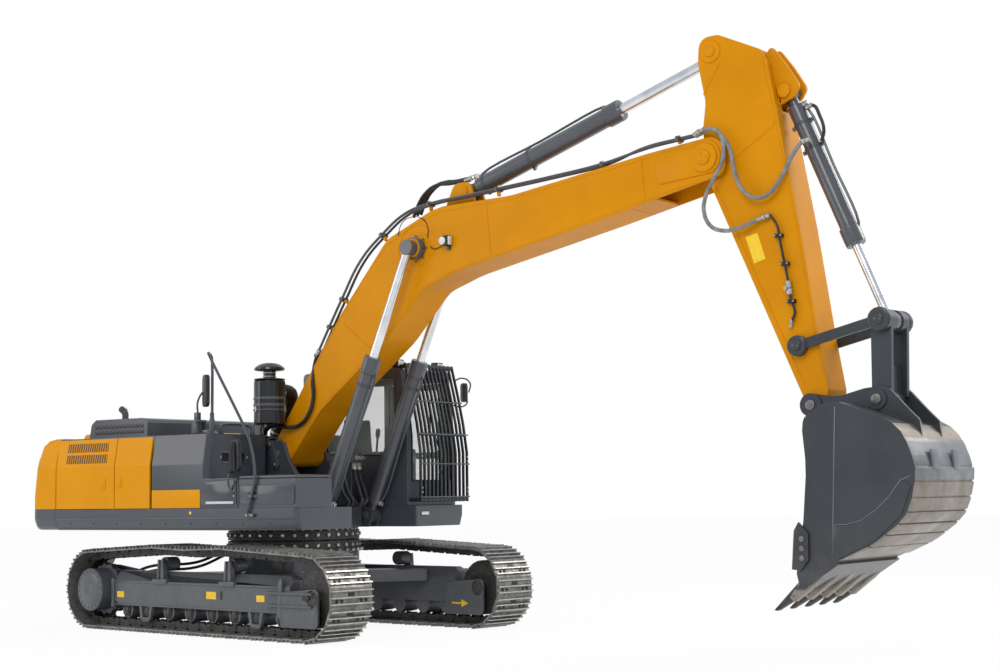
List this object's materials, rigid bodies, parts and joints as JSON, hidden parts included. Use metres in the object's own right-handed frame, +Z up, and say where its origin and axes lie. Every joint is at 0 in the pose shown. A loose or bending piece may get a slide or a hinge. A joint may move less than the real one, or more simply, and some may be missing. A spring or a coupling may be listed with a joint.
{
  "type": "crawler excavator",
  "caption": "Crawler excavator with a one-piece boom, an arm, a bucket linkage, hydraulic cylinders, guarded cab, counterweight and steel tracks under a turning deck.",
  "frame": {"origin": "middle of the parked machine's bounding box, on the ground", "axes": "+X along the boom towards the bucket, +Y towards the cab side, +Z up; the tracks stand turned 7 degrees clockwise under the deck"},
  "size_m": [11.6218, 3.7722, 6.2876],
  "materials": {
    "yellow_paint": "gloss enamel on welded plate",
    "grey_paint": "satin enamel on plate and castings",
    "black_paint": "gloss black powder coat",
    "worn_steel": "rolled and worn steel",
    "chrome_rod": "ground and plated rod",
    "chair_cover": "woven cover on foam",
    "cast_block": "cast engine block, hidden by the hood"
  },
  "bodies": {
    "undercarriage": {"carbody": "grey_paint", "slew_ring": "worn_steel", "track_frame_right": "grey_paint", "track_loop_right": "worn_steel", "idler_right": "grey_paint", "sprocket_right": "grey_paint", "track_frame_left": "grey_paint", "track_loop_left": "worn_steel", "idler_left": "grey_paint", "sprocket_left": "grey_paint"},
    "upper": {"revolving_deck": "grey_paint", "counterweight": "yellow_paint", "engine_block": "cast_block", "housing": "grey_paint", "front_cover": "grey_paint", "fuel_tank": "grey_paint", "fuel_cap": "black_paint", "tool_box": "grey_paint", "air_cleaner": "black_paint", "cab_shell": "grey_paint", "cab_roof_hatch": "grey_paint", "cab_guard": "black_paint", "operator_chair": "chair_cover", "boom_foot_pin": "worn_steel", "boom_cylinder_pin_right": "worn_steel", "boom_cylinder_pin_left": "worn_steel"},
    "hood": {"engine_hood": "grey_paint", "exhaust_pipe": "grey_paint"},
    "rear_door_right": {"rear_door_right": "yellow_paint"},
    "front_door_right": {"front_door_right": "yellow_paint"},
    "rear_door_left": {"rear_door_left": "yellow_paint"},
    "front_door_left": {"front_door_left": "yellow_paint"},
    "lid": {"tool_box_lid": "grey_paint"},
    "cab_door": {"cab_door": "grey_paint"},
    "boom": {"boom": "yellow_paint", "boom_arm_pin": "worn_steel", "arm_cylinder_pin": "worn_steel"},
    "arm": {"arm": "yellow_paint", "bucket_cylinder_pin": "worn_steel"},
    "bucket": {"bucket": "grey_paint", "arm_bucket_pin": "worn_steel"},
    "side_links": {"side_link_right": "grey_paint", "side_link_left": "grey_paint", "side_link_pin": "worn_steel"},
    "h_link": {"h_link": "grey_paint", "h_link_pin": "worn_steel"},
    "arm_barrel": {"arm_cylinder_barrel": "grey_paint"},
    "arm_rod": {"arm_cylinder_rod": "chrome_rod"},
    "bucket_barrel": {"bucket_cylinder_barrel": "grey_paint"},
    "bucket_rod": {"bucket_cylinder_rod": "chrome_rod"},
    "boom_barrel_right": {"boom_cylinder_barrel_right": "grey_paint"},
    "boom_rod_right": {"boom_cylinder_rod_right": "chrome_rod"},
    "boom_barrel_left": {"boom_cylinder_barrel_left": "grey_paint"},
    "boom_rod_left": {"boom_cylinder_rod_left": "chrome_rod"}
  },
  "joints": [
    {"name": "swing", "type": "hinge", "parent": "undercarriage", "child": "upper", "pos_m": [-2.51091, -0.00085, 1.18], "axis": [0, 0, 1], "continuous": true},
    {"name": "boom_lift", "type": "hinge", "parent": "upper", "child": "boom", "pos_m": [-2.45091, -0.00085, 2.1], "axis": [0, -1, 0], "range_deg": [-72, 7]},
    {"name": "arm_crowd", "type": "hinge", "parent": "boom", "child": "arm", "pos_m": [3.44909, -0.00085, 5.01], "axis": [0, 1, 0], "range_deg": [-66, 32]},
    {"name": "bucket_curl", "type": "hinge", "parent": "arm", "child": "bucket", "pos_m": [4.56909, -0.00085, 2.41], "axis": [0, 1, 0], "range_deg": [-60, 66]},
    {"name": "boom_cylinder_tilt_right", "type": "hinge", "parent": "upper", "child": "boom_barrel_right", "pos_m": [-1.66091, -0.43585, 1.355], "axis": [0, -1, 0], "range_deg": [-77.38, 7.54]},
    {"name": "boom_cylinder_stroke_right", "type": "slide", "parent": "boom_barrel_right", "child": "boom_rod_right", "axis": [0.3992, 0, 0.9169], "range_m": [-1.24, 0.122]},
    {"name": "boom_cylinder_tilt_left", "type": "hinge", "parent": "upper", "child": "boom_barrel_left", "pos_m": [-1.66091, 0.43415, 1.355], "axis": [0, -1, 0], "range_deg": [-77.38, 7.54]},
    {"name": "boom_cylinder_stroke_left", "type": "slide", "parent": "boom_barrel_left", "child": "boom_rod_left", "axis": [0.3992, 0, 0.9169], "range_m": [-1.24, 0.122]},
    {"name": "arm_cylinder_tilt", "type": "hinge", "parent": "boom", "child": "arm_barrel", "pos_m": [0.20909, -0.00085, 5.04], "axis": [0, 1, 0], "range_deg": [-1.95, 0.95]},
    {"name": "arm_cylinder_stroke", "type": "slide", "parent": "arm_barrel", "child": "arm_rod", "axis": [0.9507, 0, 0.3102], "range_m": [-1.158, 0.562]},
    {"name": "bucket_cylinder_tilt", "type": "hinge", "parent": "arm", "child": "bucket_barrel", "pos_m": [4.30409, -0.00085, 5.61], "axis": [0, 1, 0], "range_deg": [-2.89, 3.18]},
    {"name": "bucket_cylinder_stroke", "type": "slide", "parent": "bucket_barrel", "child": "bucket_rod", "axis": [0.3856, 0, -0.9227], "range_m": [-0.648, 0.713]},
    {"name": "side_link_turn", "type": "hinge", "parent": "arm", "child": "side_links", "pos_m": [4.43909, -0.00085, 3], "axis": [0, 1, 0], "range_deg": [-45.81, 50.39]},
    {"name": "h_link_turn", "type": "hinge", "parent": "bucket", "child": "h_link", "pos_m": [5.25909, -0.00085, 2.44], "axis": [0, 1, 0], "range_deg": [-54.51, 49.56]},
    {"name": "rear_door_right_turn", "type": "hinge", "parent": "upper", "child": "rear_door_right", "pos_m": [-4.11591, -1.45685, 1.9], "axis": [0, 0, 1], "range_deg": [0, 100]},
    {"name": "front_door_right_turn", "type": "hinge", "parent": "upper", "child": "front_door_right", "pos_m": [-3.49591, -1.45685, 1.9], "axis": [0, 0, 1], "range_deg": [0, 100]},
    {"name": "rear_door_left_turn", "type": "hinge", "parent": "upper", "child": "rear_door_left", "pos_m": [-5.14091, 1.45515, 1.9], "axis": [0, 0, 1], "range_deg": [0, 100]},
    {"name": "front_door_left_turn", "type": "hinge", "parent": "upper", "child": "front_door_left", "pos_m": [-3.99091, 1.45515, 1.9], "axis": [0, 0, 1], "range_deg": [0, 100]},
    {"name": "hood_lift", "type": "hinge", "parent": "upper", "child": "hood", "pos_m": [-4.07291, 0.12415, 2.3403], "axis": [0, 1, 0], "range_deg": [0, 60]},
    {"name": "lid_lift", "type": "hinge", "parent": "upper", "child": "lid", "pos_m": [-1.56591, -0.89285, 1.8023], "axis": [-1, 0, 0], "range_deg": [0, 95]},
    {"name": "cab_door_turn", "type": "hinge", "parent": "upper", "child": "cab_door", "pos_m": [-2.18691, 1.50545, 2.29], "axis": [0, 0, 1], "range_deg": [0, 160]}
  ],
  "couplings": [
    {"joint": "boom_cylinder_tilt_right", "follows": "boom_lift", "ratio": 1.0745},
    {"joint": "boom_cylinder_stroke_right", "follows": "boom_lift", "m_per_rad": 0.9858},
    {"joint": "boom_cylinder_tilt_left", "follows": "boom_lift", "ratio": 1.0745},
    {"joint": "boom_cylinder_stroke_left", "follows": "boom_lift", "m_per_rad": 0.9858},
    {"joint": "arm_cylinder_tilt", "follows": "arm_crowd", "ratio": 0.0293},
    {"joint": "arm_cylinder_stroke", "follows": "arm_crowd", "m_per_rad": 1.0039},
    {"joint": "bucket_cylinder_tilt", "follows": "bucket_curl", "ratio": 0.0479},
    {"joint": "bucket_cylinder_stroke", "follows": "bucket_curl", "m_per_rad": 0.6177},
    {"joint": "side_link_turn", "follows": "bucket_curl", "ratio": 0.7633},
    {"joint": "h_link_turn", "follows": "bucket_curl", "ratio": -0.8257}
  ]
}
